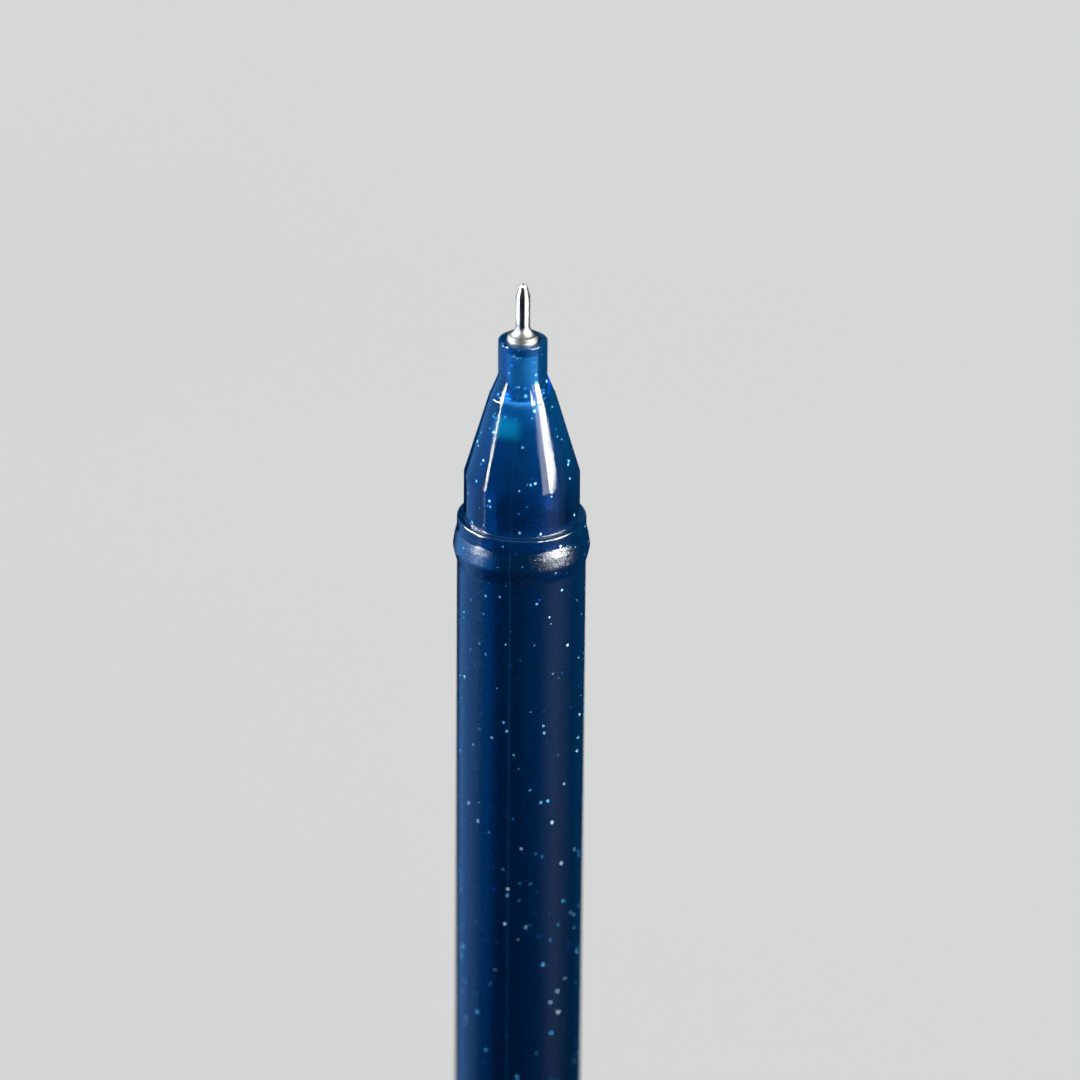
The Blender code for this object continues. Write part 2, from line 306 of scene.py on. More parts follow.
# ------------------------------------------------------------------ materials
def clear_blue(name, frost_low, frost_high, end_low=None):
    """Deep-blue clear plastic: polished outside the frosted span (heights in mm), finely grained inside it."""
    k = Net(name)
    z = k.z()
    # how frosted: 1 between the two heights, 0 outside, with a soft edge at the polish line
    top = k.range(z, (frost_high - 0.12) * MM, (frost_high + 0.12) * MM, 1.0, 0.0, True)
    frost = top
    if frost_low is not None:
        low = k.range(z, (frost_low - 0.3) * MM, (frost_low + 0.3) * MM, 0.0, 1.0, True)
        frost = k.math("MULTIPLY", top, low)
    # grain of the spark-eroded mould face, coarse flow waviness, and fine handling scratches
    grain = k.noise(8500.0, 2.0, 0.6)
    pits = k.voronoi(11000.0)
    wave = k.noise(160.0, 2.0, 0.5)
    stretch = k.n("ShaderNodeMapping")
    stretch.inputs["Scale"].default_value = (1.0, 1.0, 0.05)
    k.l(k.obj(), stretch.inputs["Vector"])
    scratch = k.noise(2600.0, 2.0, 0.7, stretch.outputs[0])
    hair = k.range(scratch, 0.60, 0.66, 0.0, 1.0)
    height = k.math("ADD", k.math("MULTIPLY", grain, 0.8), k.math("MULTIPLY", pits, 0.14))
    # the snap ring's face is coarser than the long barrel below it
    ring = k.range(z, (SHOULDER - 4.6) * MM, (SHOULDER - 3.6) * MM, 0.0, 1.0, True)
    if frost_low is not None:
        ring = k.range(z, 0.0, 1.0, 0.0, 0.0)
    height = k.math("MULTIPLY", k.math("MULTIPLY", height, frost), k.range(ring, 0.0, 1.0, 0.55, 1.4))
    # the lip above the ring is less polished than the nose
    lip = k.math("MULTIPLY", k.range(z, (SHOULDER - 1.2) * MM, (SHOULDER - 0.9) * MM, 0.0, 1.0, True), k.range(z, (SHOULDER + 0.3) * MM, (SHOULDER + 0.7) * MM, 1.0, 0.0, True))
    n1 = k.bump(k.math("MULTIPLY", wave, k.range(lip, 0.0, 1.0, 1.0, 0.35)), 0.00002, 0.25)
    n2 = k.bump(height, 0.000022, 0.9, n1)
    n3 = k.bump(hair, 0.000004, 0.15, n2)
    # polish is a little hazier half way up the cone than at its two ends
    haze = k.math("MULTIPLY", k.range(z, 0.1530, 0.1555, 0.0, 1.0, True), k.range(z, 0.1572, 0.1584, 1.0, 0.0, True))
    rough_clear = k.math("ADD", k.range(wave, 0.3, 0.7, 0.075, 0.10), k.math("ADD", k.math("MULTIPLY", haze, 0.085), k.math("MULTIPLY", lip, 0.12)))
    coarse = k.noise(2600.0, 3.0, 0.7)
    rough_frost = k.mixf(ring, k.math("ADD", k.range(grain, 0.35, 0.65, 0.20, 0.32), k.range(coarse, 0.3, 0.7, -0.03, 0.04)), k.range(grain, 0.35, 0.65, 0.22, 0.34))
    rough = k.mixf(frost, rough_clear, rough_frost)
    rough = k.math("ADD", rough, k.math("MULTIPLY", hair, 0.05))
    # flow streaks in the colour
    streak = k.noise(900.0, 3.0, 0.6, stretch.outputs[0])
    # the wall thins up the cone, so the colour lightens from the shoulder to the neck
    tone = k.ramp(
        k.range(z, (SHOULDER - 2.0) * MM, (SHOULDER + 14.0) * MM, 0.0, 1.0),
        [(0.0, (0.0002, 0.0095, 0.032)), (0.20, (0.0003, 0.0105, 0.036)), (0.46, (0.0007, 0.027, 0.086)), (0.62, (0.0008, 0.037, 0.118)), (0.78, (0.0009, 0.042, 0.126))],
    )
    bright = k.n("ShaderNodeHueSaturation")
    bright.inputs["Value"].default_value = 1.22
    k.l(tone, bright.inputs["Color"])
    body = k.mixc(k.range(streak, 0.35, 0.7, 0.0, 1.0), tone, bright.outputs[0])
    if frost_low is None:
        # painted shade: the barrel's colour is darkened more the further back it goes from the shoulder
        body = k.mixc(k.range(z, (SHOULDER - 50.0) * MM, (SHOULDER - 6.0) * MM, 0.38, 0.0), body, (0.0, 0.0, 0.0))
        # painted light: a cyan glow painted into the wall's colour below the flare, on the clip's left, standing in
        # for light gathered by the hollow nose
        at = k.n("ShaderNodeSeparateXYZ")
        k.l(k.obj(), at.inputs[0])
        turn = k.math("ARCTAN2", at.outputs[0], k.math("MULTIPLY", at.outputs[1], -1.0))
        around = k.math("MULTIPLY", k.range(turn, -0.95, -0.60, 0.0, 1.0, True), k.range(turn, -0.30, 0.10, 1.0, 0.0, True))
        along = k.math("MULTIPLY", k.range(z, (SHOULDER + 7.7) * MM, (SHOULDER + 8.7) * MM, 0.0, 1.0, True), k.range(z, (SHOULDER + 9.3) * MM, (SHOULDER + 10.1) * MM, 1.0, 0.0, True))
        body = k.mixc(k.math("MULTIPLY", around, along), body, (0.002, 0.22, 0.40))
        # painted light: the lip's colour is lifted to a lighter blue, standing in for light falling on the ledge
        body = k.mixc(k.math("MULTIPLY", lip, 0.85), body, (0.0006, 0.026, 0.085))
    # painted highlight: a lighter blue painted along the parting line, over the seam's real raised ridge
    seam = k.n("ShaderNodeAttribute", _attribute_name="seam")
    body = k.mixc(k.math("MULTIPLY", seam.outputs["Fac"], 0.22), body, (0.02, 0.20, 0.46))
    # light goes in and is coloured by the depth of plastic, or is scattered back by its dye
    clear = k.n("ShaderNodeBsdfRefraction", _distribution="BECKMANN")
    clear.inputs["Color"].default_value = (0.90, 0.98, 1.0, 1.0)
    clear.inputs["IOR"].default_value = 1.5
    k.l(rough, clear.inputs["Roughness"])
    k.l(n3, clear.inputs["Normal"])
    dyed = k.n("ShaderNodeBsdfDiffuse")
    k.l(body, dyed.inputs["Color"])
    inner = k.n("ShaderNodeMixShader")
    k.l(k.mixf(top, 0.72, 0.52), inner.inputs[0])
    k.l(dyed.outputs[0], inner.inputs[1])
    k.l(clear.outputs[0], inner.inputs[2])
    # the skin's own sheen, stronger where the snap ring's face is burnished by the cap
    sheen = k.n("ShaderNodeBsdfAnisotropic", _distribution="BECKMANN")
    sheen.inputs["Color"].default_value = (1.0, 1.0, 1.0, 1.0)
    k.l(rough, sheen.inputs["Roughness"])
    k.l(n3, sheen.inputs["Normal"])
    fresnel = k.n("ShaderNodeFresnel")
    k.l(k.math("ADD", k.math("MULTIPLY", k.math("MULTIPLY", k.range(z, (SHOULDER - 2.95) * MM, (SHOULDER - 2.5) * MM, 0.0, 1.0, True) if frost_low is None else ring, frost), 0.95), 1.5), fresnel.inputs["IOR"])
    k.l(n3, fresnel.inputs["Normal"])
    mix = k.n("ShaderNodeMixShader")
    k.l(fresnel.outputs[0], mix.inputs[0])
    k.l(inner.outputs[0], mix.inputs[1])
    k.l(sheen.outputs[0], mix.inputs[2])
    vol = k.n("ShaderNodeVolumeAbsorption")
    vol.inputs["Color"].default_value = (0.0, 0.42, 0.70, 1.0)
    vol.inputs["Density"].default_value = 2400.0
    return k.done(k.through_for_lamps(mix.outputs[0], (0.90, 0.97, 1.0)), vol.outputs[0])


def flake_material():
    k = Net("glitter_foil")
    geo = k.n("ShaderNodeNewGeometry")
    rnd = geo.outputs["Random Per Island"]
    tone = k.ramp(rnd, [(0.0, (1.0, 0.98, 0.94)), (0.25, (0.75, 0.95, 1.0)), (0.45, (0.28, 0.76, 1.0)), (0.85, (0.12, 0.60, 0.92)), (1.0, (0.7, 0.8, 0.9))])
    fine = k.noise(30000.0, 2.0, 0.6)
    p = k.principled(Base__Color=tone, Metallic=0.45, Roughness=k.range(fine, 0.3, 0.7, 0.30, 0.46), Normal=k.bump(fine, 0.000004, 0.4))
    return k.done(p.outputs[0])


def steel_material(name, colour, base_rough, lines_per_mm, rings=0.0):
    """Turned steel: fine rings round the axis, faint staining."""
    k = Net(name)
    z = k.z()
    w = k.n("ShaderNodeTexWave", _wave_type="BANDS", _bands_direction="Z", _wave_profile="SIN")
    w.inputs["Scale"].default_value = lines_per_mm * 1000.0 / 20.0 * math.pi
    w.inputs["Distortion"].default_value = 1.2
    w.inputs["Detail"].default_value = 2.0
    w.inputs["Detail Scale"].default_value = 2.0
    k.l(k.obj(), w.inputs["Vector"])
    grime = k.noise(1800.0, 4.0, 0.6)
    fine = k.noise(24000.0, 2.0, 0.6)
    tone = k.mixc(k.range(grime, 0.35, 0.75, 0.0, 1.0), colour, tuple(c * (0.82 if i else 0.88) for i, c in enumerate(colour)))
    rough = k.math("ADD", k.range(grime, 0.3, 0.8, base_rough, base_rough + 0.14), k.math("MULTIPLY", fine, 0.04))
    if rings:
        # the flange is turned more coarsely than the needle
        rough = k.math("ADD", rough, k.range(z, (SHOULDER + 16.3) * MM, (SHOULDER + 17.1) * MM, 0.20, 0.0, True))
    nrm = k.bump(w.outputs["Fac"], 0.000003, 0.35)
    nrm = k.bump(fine, 0.000002, 0.3, nrm)
    if not rings:
        p = k.principled(Base__Color=tone, Metallic=1.0, Roughness=rough, Normal=nrm)
        return k.done(p.outputs[0])
    p = k.n("ShaderNodeBsdfAnisotropic", _distribution="BECKMANN")
    tangent = k.n("ShaderNodeTangent", _direction_type="RADIAL", _axis="Z")
    k.l(tangent.outputs[0], p.inputs["Tangent"])
    tone = k.mixc(k.range(z, (SHOULDER + 16.4) * MM, (SHOULDER + 17.2) * MM, 0.0, 1.0, True), tuple(c * 0.74 for c in colour), tone)
    k.l(tone, p.inputs["Color"])
    k.l(rough, p.inputs["Roughness"])
    k.l(nrm, p.inputs["Normal"])
    k.l(k.range(z, (SHOULDER + 16.4) * MM, (SHOULDER + 17.2) * MM, rings * 0.1, rings, True), p.inputs["Anisotropy"])
    p.inputs["Rotation"].default_value = 0.0
    return k.done(p.outputs[0])


def plastic_material(name, a, b, rough, scale=900.0, bump=0.00001, sub=0.0, trans=0.0):
    k = Net(name)
    mottled = k.noise(scale, 4.0, 0.6)
    fine = k.noise(scale * 9, 2.0, 0.6)
    tone = k.mixc(k.range(mottled, 0.35, 0.7, 0.0, 1.0), a, b)
    p = k.principled(
        Base__Color=tone, Roughness=k.range(fine, 0.3, 0.7, rough - 0.05, rough + 0.07), Normal=k.bump(fine, bump, 0.5), IOR=1.49
    )
    if trans:
        p.inputs["Transmission Weight"].default_value = trans
        return k.done(k.through_for_lamps(p.outputs[0], (0.86, 0.9, 0.94)))
    return k.done(p.outputs[0])


blue = clear_blue("barrel_clear_blue", None, SHOULDER - 1.15)
blue_cap = clear_blue("cap_clear_blue", 2.2, 51.4)
foil = flake_material()
steel = steel_material("needle_steel", (0.33, 0.322, 0.306), 0.30, 22.0, 0.93)
carbide = steel_material("ball_carbide", (0.55, 0.55, 0.57), 0.08, 60.0)
wire = steel_material("spring_steel", (0.62, 0.62, 0.63), 0.22, 30.0)


def holder_material():
    """Natural translucent plastic, with painted light on its exposed front, painted shade lower down, and a painted
    highlight band at its step.
    """
    k = Net("holder_plastic")
    z = k.z()
    cloud = k.noise(700.0, 4.0, 0.6)
    fine = k.noise(6000.0, 2.0, 0.6)
    # painted shade: a darker copy of the holder's colour for its lower part
    low = k.mixc(k.range(cloud, 0.35, 0.7, 0.0, 1.0), (0.055, 0.135, 0.125), (0.045, 0.11, 0.105))
    # painted light: a lighter copy of the holder's colour for its exposed front
    high = k.mixc(k.range(cloud, 0.35, 0.7, 0.0, 1.0), (0.34, 0.50, 0.41), (0.29, 0.44, 0.36))
    tone = k.mixc(k.range(z, (SHOULDER + 7.8) * MM, (SHOULDER + 9.6) * MM, 0.0, 1.0, True), low, high)
    # painted highlight: a near-white band round the step where the holder widens, then the lit copy again above it
    tone = k.mixc(k.range(z, (SHOULDER + 10.1) * MM, (SHOULDER + 10.5) * MM, 0.0, 1.0), tone, (0.85, 0.98, 0.90))
    tone = k.mixc(k.range(z, (SHOULDER + 10.5) * MM, (SHOULDER + 10.9) * MM, 0.0, 1.0), tone, high)
    p = k.principled(Base__Color=tone, Roughness=k.range(fine, 0.3, 0.7, 0.30, 0.42), Normal=k.bump(fine, 0.00001, 0.5), IOR=1.49)
    return k.done(p.outputs[0])


holder_mat = holder_material()
tube_mat = plastic_material("tube_plastic", (0.42, 0.55, 0.58), (0.38, 0.51, 0.55), 0.22, 500.0, 0.000006, trans=0.93)
ink_mat = plastic_material("gel_ink", (0.0008, 0.0035, 0.013), (0.0012, 0.005, 0.019), 0.30, 350.0)
grease_mat = plastic_material("follower_grease", (0.82, 0.78, 0.62), (0.74, 0.70, 0.54), 0.2, 420.0)
plug_mat = plastic_material("plug_blue", (0.003, 0.018, 0.060), (0.004, 0.023, 0.074), 0.3, 800.0)
seal_mat = plastic_material("seal_plastic", (0.80, 0.83, 0.86), (0.74, 0.78, 0.82), 0.5, 600.0)
pad_mat = plastic_material("pad_rubber", (0.035, 0.035, 0.04), (0.06, 0.06, 0.065), 0.75, 1500.0, 0.00002)


def clip_material():
    """Plated spring steel, brushed along its length, with small scuffs on the edges."""
    k = Net("clip_steel")
    m = k.n("ShaderNodeMapping")
    m.inputs["Scale"].default_value = (1.0, 1.0, 0.03)
    k.l(k.obj(), m.inputs["Vector"])
    brush = k.noise(14000.0, 3.0, 0.7, m.outputs[0])
    cloud = k.noise(260.0, 3.0, 0.6)
    geo = k.n("ShaderNodeNewGeometry")
    edge = k.range(geo.outputs["Pointiness"], 0.52, 0.60, 0.0, 1.0)
    tone = k.mixc(k.range(cloud, 0.35, 0.7, 0.0, 1.0), (0.80, 0.80, 0.81), (0.70, 0.70, 0.72))
    tone = k.mixc(k.math("MULTIPLY", edge, 0.6), tone, (0.90, 0.89, 0.88))
    rough = k.math("ADD", k.range(brush, 0.3, 0.7, 0.17, 0.32), k.math("MULTIPLY", edge, 0.08))
    p = k.principled(Base__Color=tone, Metallic=1.0, Roughness=rough, Normal=k.bump(brush, 0.000006, 0.35))
    p.inputs["Anisotropic"].default_value = 0.3
    return k.done(p.outputs[0])


clip_mat = clip_material()

# ------------------------------------------------------------------ barrel
Z = SHOULDER
outer = [
    (1.42, Z + 15.42), (1.975, Z + 15.42, 0.12), (1.975, Z + 12.30, 0.35), (2.60, Z + 10.70, 0.03), (2.655, Z + 10.64, 0.03),
    (4.674, Z + 3.69, 0.10), (4.674, Z - 0.02, 0.10), (5.22, Z, 0.27), (5.22, Z - 1.02, 0.25),
    (5.40, Z - 1.75, 0.6), (5.54, Z - 2.66, 0.55), (5.36, Z - 3.45, 0.5), (5.205, Z - 3.95, 0.25), (5.2, Z - 60.0), (5.2, TAIL + 0.1, 0.1),
    (5.1, TAIL, 0.1), (4.15, TAIL, 0.1),
]
inner = [
    (4.0, TAIL + 0.15, 0.1), (4.0, Z - 2.0, 4.0), (3.6, Z + 2.0, 3.0), (2.0, Z + 9.0, 1.0), (2.0, Z + 10.8, 0.12), (1.32, Z + 10.8, 0.06),
    (1.32, Z + 15.32),
]
outer_poly = subdivide(rounded(outer), 3.0)
inner_poly = subdivide(rounded(inner), 3.0)
poly = outer_poly + inner_poly
n_outer = len(outer_poly)


def seam_shape(a):
    """0 to 1 across a parting line."""
    deg = math.degrees(a)
    best = min(abs((deg - base + 180) % 360 - 180) for base in (PART_AZ, PART_AZ + 180.0))
    return max(0.0, 1.0 - best / 0.8) ** 2 if best < 0.8 else 0.0


def seam_offset(i, a):
    if 3 <= i < n_outer - 6:
        return 0.011 * seam_shape(a)
    return 0.0


barrel = lathe("barrel_shell", poly, seam_angles(200), True, seam_offset)
# the seam attribute marks the parting line for its painted highlight
att = barrel.data.attributes.new("seam", "FLOAT", "POINT")
vals = []
for v in barrel.data.vertices:
    a = math.atan2(v.co.x, -v.co.y)
    r = math.hypot(v.co.x, v.co.y) / MM
    vals.append(seam_shape(a) if r > 1.6 else 0.0)
att.data.foreach_set("value", vals)
finish_piece(barrel, [blue], "barrel", "barrel")


# ------------------------------------------------------------------ glitter
def radius_on(poly, z):
    """Radius of a polyline, running down, at a height."""
    best = None
    for a, b in zip(poly, poly[1:]):
        lo, hi = min(a[1], b[1]), max(a[1], b[1])
        if lo <= z <= hi and hi - lo > 1e-6:
            t = (z - a[1]) / (b[1] - a[1])
            r = a[0] + (b[0] - a[0]) * t
            best = r if best is None else max(best, r)
    return best


def flakes(name, count, low, high, outer_r, inner_r, seed, body, density=None):
    """Closed hexagonal foil flakes inside a wall, nearly parallel to it."""
    rnd = random.Random(seed)
    verts, faces = [], []
    made = 0
    while made < count:
        z = rnd.uniform(low, high)
        if density and rnd.random() > density(z):
            continue
        ro, ri = outer_r(z), inner_r(z)
        if ro is None or ri is None or ro - ri < 0.5:
            continue
        size = rnd.choice((0.07, 0.085, 0.10, 0.12, 0.125))
        r = rnd.uniform(ri + 0.14, ro - 0.13)
        # more of them near the skin, where flow carries them
        skin = rnd.random()
        if skin < 0.35:
            r = ro - rnd.uniform(0.035, 0.07)
        elif skin < 0.6:
            r = ro - rnd.uniform(0.08, 0.25)
        a = rnd.uniform(0, 2 * math.pi)
        radial = Vector((math.sin(a), -math.cos(a), 0.0))
        tilt = Vector((rnd.gauss(0, 1), rnd.gauss(0, 1), rnd.gauss(0, 1)))
        nrm = (radial + tilt * (0.55 if skin >= 0.35 else 0.12)).normalized()
        room = min(ro - r, r - ri) - 0.012
        if size * math.sqrt(max(0.0, 1 - nrm.dot(radial) ** 2)) > room:
            continue
        r = min(r, math.sqrt(max(0.0, (ro - 0.012) ** 2 - size * size)))
        c = radial * r + Vector((0, 0, z))
        u = nrm.orthogonal().normalized()
        v = nrm.cross(u)
        spin = rnd.uniform(0, math.pi)
        base = len(verts)
        th = 0.006
        for side in (1, -1):
            for i in range(6):
                t = spin + i * math.pi / 3
                p = c + (u * math.cos(t) + v * math.sin(t)) * size + nrm * th * side
                verts.append(tuple(p * MM))
        faces.append([base + i for i in range(6)])
        faces.append([base + 11 - i for i in range(6)])
        for i in range(6):
            j = (i + 1) % 6
            faces.append([base + i, base + 6 + i, base + 6 + j, base + j])
        made += 1
    me = bpy.data.meshes.new(name)
    me.from_pydata(verts, [], faces)
    me.validate()
    bm = bmesh.new()
    bm.from_mesh(me)
    bmesh.ops.recalc_face_normals(bm, faces=bm.faces)
    bm.to_mesh(me)
    bm.free()
    ob = bpy.data.objects.new(name, me)
    collection.objects.link(ob)
    return finish_piece(ob, [foil], body, None)


def barrel_outer(z):
    return radius_on(outer_poly, z)


def barrel_inner(z):
    r = radius_on(inner_poly, z)
    return r if r is not None else 1.32


flakes("barrel_glitter", 1150, TAIL + 0.5, Z - 0.6, barrel_outer, barrel_inner, 11, "barrel")
flakes("nose_glitter", 130, Z + 0.2, Z + 15.0, barrel_outer, barrel_inner, 23, "barrel")

# ------------------------------------------------------------------ refill
# steel point: bullet nose, needle, concave flare, flange with fine turned rings, collar, shank
BALL = Z + 19.97
tip = [
    (0.268, Z + 20.06), (0.30, Z + 20.05, 0.02), (0.375, Z + 19.83, 0.3), (0.49, Z + 19.40, 0.5), (0.572, Z + 19.08, 0.04), (0.566, Z + 19.0, 0.02),
    (0.55, Z + 18.96), (0.55, Z + 17.04, 0.02), (0.566, Z + 17.0, 0.02), (0.55, Z + 16.94, 0.02), (0.55, Z + 16.62, 0.6), (0.60, Z + 16.36, 0.5),
    (0.74, Z + 16.12, 0.6), (0.98, Z + 15.93, 0.4), (1.20, Z + 15.84, 0.03), (1.22, Z + 15.80, 0.02), (1.18, Z + 15.75, 0.02), (1.26, Z + 15.71, 0.03),
    (1.27, Z + 15.62, 0.03), (1.23, Z + 15.56, 0.02), (1.275, Z + 15.50, 0.02), (1.275, Z + 14.5, 0.05), (0.95, Z + 14.5, 0.03), (0.95, Z + 8.2, 0.1),
    (0.85, Z + 8.05, 0.05),
]
tip_in = [
    (0.42, Z + 8.05, 0.05), (0.42, Z + 8.35, 0.05), (0.72, Z + 8.45, 0.05), (0.72, Z + 14.6, 0.2), (0.33, Z + 15.6, 0.2), (0.33, Z + 19.2, 0.05),
    (0.12, Z + 19.35, 0.02), (0.12, Z + 19.68, 0.02), (0.262, Z + 19.822, 0.01), (0.262, Z + 19.99, 0.01), (0.245, Z + 20.06),
]
needle = lathe("steel_point", rounded(tip, 6.0) + rounded(tip_in, 12.0), even_angles(72), True, sharp=50.0)
finish_piece(needle, [steel], "refill", "needle_tip")

ball_poly = [(0.25 * math.sin(math.pi * i / 24), BALL + 0.25 * math.cos(math.pi * i / 24)) for i in range(25)]
ball = lathe("rolling_ball", ball_poly, even_angles(40), False, sharp=180.0)
finish_piece(ball, [carbide], "ball", "ball")

holder = [
    (1.05, Z + 14.4), (1.22, Z + 14.38, 0.06), (1.22, Z + 10.5, 0.08), (1.88, Z + 10.5, 0.15), (1.88, Z + 6.2, 0.8), (2.25, Z + 5.0, 0.5), (2.25, Z + 4.2, 0.8),
    (2.95, Z + 2.6, 0.2), (3.05, Z + 2.4, 0.1), (3.05, Z + 1.2, 0.05), (2.26, Z + 1.2, 0.05), (2.26, Z - 4.0, 0.15), (2.05, Z - 4.2, 0.1), (0.85, Z - 4.2, 0.1),
    (0.8, Z - 4.0, 0.05), (0.8, Z + 8.0, 0.05), (0.98, Z + 8.0, 0.03), (0.98, Z + 14.35),
]
h = lathe("tip_socket", rounded(holder, 10.0), even_angles(72), True)
finish_piece(h, [holder_mat], "refill", "tip_holder")

tube = [(2.5, Z + 1.1), (3.05, Z + 1.1, 0.08), (3.05, REFILL, 0.12), (2.3, REFILL, 0.12), (2.3, Z + 1.05, 0.05)]
t = lathe("refill_tube", subdivide(rounded(tube, 12.0), 6.0), even_angles(80), True)
finish_piece(t, [tube_mat], "refill", "ink_tube")

ink = [(0.0, Z - 4.5), (2.27, Z - 4.5, 0.1), (2.27, 75.0, 0.1), (0.0, 75.0)]
i = lathe("ink_gel", subdivide(rounded(ink, 15.0), 4.0), even_angles(64), False)
finish_piece(i, [ink_mat], "refill", "ink_column")
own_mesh(i)

fol = [(0.0, 74.95), (2.27, 74.95, 0.1), (2.27, 66.95, 0.1), (1.9, 66.95, 0.2), (1.0, 67.6, 0.5), (0.0, 67.85)]
f = lathe("grease_follower", rounded(fol, 12.0), even_angles(56), False)
finish_piece(f, [grease_mat], "follower", "ink_follower")


def tube_along(name, pts, radius, sides):
    """A closed wire of round section along points, with flat ends."""
    verts, faces = [], []
    pts = [Vector(p) for p in pts]
    up = Vector((0, 0, 1))
    last_u = None
    for idx, p in enumerate(pts):
        d = (pts[min(idx + 1, len(pts) - 1)] - pts[max(idx - 1, 0)]).normalized()
        u = (last_u - d * last_u.dot(d)) if last_u else d.cross(up if abs(d.dot(up)) < 0.95 else Vector((1, 0, 0)))
        u.normalize()
        last_u = u
        v = d.cross(u)
        for s in range(sides):
            a = 2 * math.pi * s / sides
            verts.append(tuple((p + (u * math.cos(a) + v * math.sin(a)) * radius) * MM))
    for idx in range(len(pts) - 1):
        for s in range(sides):
            s2 = (s + 1) % sides
            faces.append([idx * sides + s, (idx + 1) * sides + s, (idx + 1) * sides + s2, idx * sides + s2])
    faces.append(list(range(sides)))
    faces.append([(len(pts) - 1) * sides + s for s in reversed(range(sides))])
    me = bpy.data.meshes.new(name)
    me.from_pydata(verts, [], faces)
    bm = bmesh.new()
    bm.from_mesh(me)
    bmesh.ops.recalc_face_normals(bm, faces=bm.faces)
    bm.to_mesh(me)
    bm.free()
    me.shade_smooth()
    me.set_sharp_from_angle(angle=math.radians(50))
    ob = bpy.data.objects.new(name, me)
    collection.objects.link(ob)
    return ob


pts = []
TURNS, PER = 8, 32
for q in range(TURNS * PER + 1):
    tt = q / PER
    aa = 2 * math.pi * tt
    pts.append((0.52 * math.sin(aa + math.pi / 2), -0.52 * math.cos(aa + math.pi / 2), Z + 8.5 + 4.9 * tt / TURNS))
for q in range(1, 24):
    kk = q / 24
    aa = 2 * math.pi * kk * 0.7
    pts.append((0.52 * (1 - kk) * math.sin(aa + math.pi / 2), -0.52 * (1 - kk) * math.cos(aa + math.pi / 2), Z + 13.4 + 1.3 * kk))
pts += [(0, 0, Z + 15.1), (0, 0, Z + 16.8), (0, 0, Z + 19.69)]
spring = tube_along("point_spring", pts, 0.085, 12)
finish_piece(spring, [wire], "spring", "tip_spring")

# ------------------------------------------------------------------ end plug
plug = [
    (1.7, REFILL - 0.06), (3.7, REFILL - 0.06, 0.1), (3.92, REFILL - 0.46, 0.15), (3.92, 33.6, 0.1), (3.80, 33.4, 0.08), (3.80, 32.9, 0.08), (3.92, 32.7, 0.1),
    (3.92, 30.6, 0.1), (3.80, 30.4, 0.08), (3.80, 29.9, 0.08), (3.92, 29.7, 0.1), (3.92, TAIL - 0.05, 0.05), (4.35, TAIL - 0.05, 0.1), (4.5, TAIL - 0.25, 0.15),
    (4.5, TAIL - 0.95, 0.25), (4.25, TAIL - 1.2, 0.2), (3.3, TAIL - 1.2, 0.1), (3.1, TAIL - 1.05, 0.1), (1.4, TAIL - 1.05, 0.1), (1.2, TAIL - 1.2, 0.1),
    (0.7, TAIL - 1.2, 0.1), (0.6, TAIL - 1.0, 0.1), (0.6, REFILL - 3.0, 0.2), (1.6, REFILL - 2.0, 0.2), (1.6, REFILL - 0.15, 0.05),
]
pl = lathe("tail_plug", rounded(plug, 10.0), even_angles(96), True)
finish_piece(pl, [plug_mat], "tail", "end_plug")

# ------------------------------------------------------------------ cap
cap = [
    (5.72, 52.0), (5.98, 52.0, 0.12), (6.30, 51.6, 0.35), (6.28, 40.0, 8.0), (6.1, 6.0, 8.0), (6.02, 1.5, 0.5), (5.75, 0.8, 0.25), (5.05, 0.8, 0.1),
    (4.93, 0.95, 0.08), (4.93, 4.7, 0.1), (0.7, 4.7, 0.1), (0.7, 5.5, 0.1), (4.72, 5.5, 0.2), (4.72, 27.95, 0.05), (5.28, 27.95, 0.05), (5.28, 29.4, 0.1),
    (5.66, 29.8, 0.15), (5.66, 31.9, 0.2), (5.46, 32.4, 0.15), (5.46, 32.9, 0.15), (5.56, 33.4, 0.15), (5.56, 51.4, 0.2),
]
cap_poly = subdivide(rounded(cap, 8.0), 3.0)
cap_shell = lathe("cap_body", cap_poly, seam_angles(200), True,
                  lambda i, a: 0.0)
bm = bmesh.new()
bmesh.ops.create_cube(bm, size=1.0)
bmesh.ops.scale(bm, vec=((3.6 + 0.5) * MM, 3.0 * MM, 1.2 * MM), verts=bm.verts)
bmesh.ops.bevel(bm, geom=[e for e in bm.edges if abs(e.verts[0].co.y - e.verts[1].co.y) > 1e-6], offset=0.25 * MM, segments=4, affect="EDGES", profile=0.5)
bmesh.ops.translate(bm, vec=(0, -5.6 * MM, 3.78 * MM), verts=bm.verts)
me = bpy.data.meshes.new("slot_cut")
bm.to_mesh(me)
bm.free()
cutter = bpy.data.objects.new("slot_cut", me)
collection.objects.link(cutter)
mod = cap_shell.modifiers.new("slot", "BOOLEAN")
mod.operation = "DIFFERENCE"
mod.solver = "EXACT"
mod.object = cutter
bpy.context.view_layer.update()
dg = bpy.context.evaluated_depsgraph_get()
cut_mesh = bpy.data.meshes.new_from_object(cap_shell.evaluated_get(dg))
cap_shell.modifiers.clear()
cap_shell.data = cut_mesh
bpy.data.objects.remove(cutter, do_unlink=True)
cut_mesh.materials.clear()
cut_mesh.shade_smooth()
cut_mesh.set_sharp_from_angle(angle=math.radians(40))
finish_piece(cap_shell, [blue_cap], "cap", "cap_shell")

top_plug = [
    (0.0, 3.1), (4.6, 3.1, 0.15), (4.85, 2.85, 0.15), (4.85, 0.75, 0.05), (5.3, 0.75, 0.1), (5.45, 0.60, 0.12), (5.45, 0.25, 0.2), (5.15, 0.0, 0.2),
    (3.6, 0.0, 0.1), (3.4, 0.18, 0.1), (2.9, 0.18, 0.1), (2.7, 0.0, 0.1), (0.0, 0.0),
]
tp = lathe("cap_end_plug", rounded(top_plug, 10.0), even_angles(120), False)
finish_piece(tp, [plug_mat], "cap", "cap_top_plug")

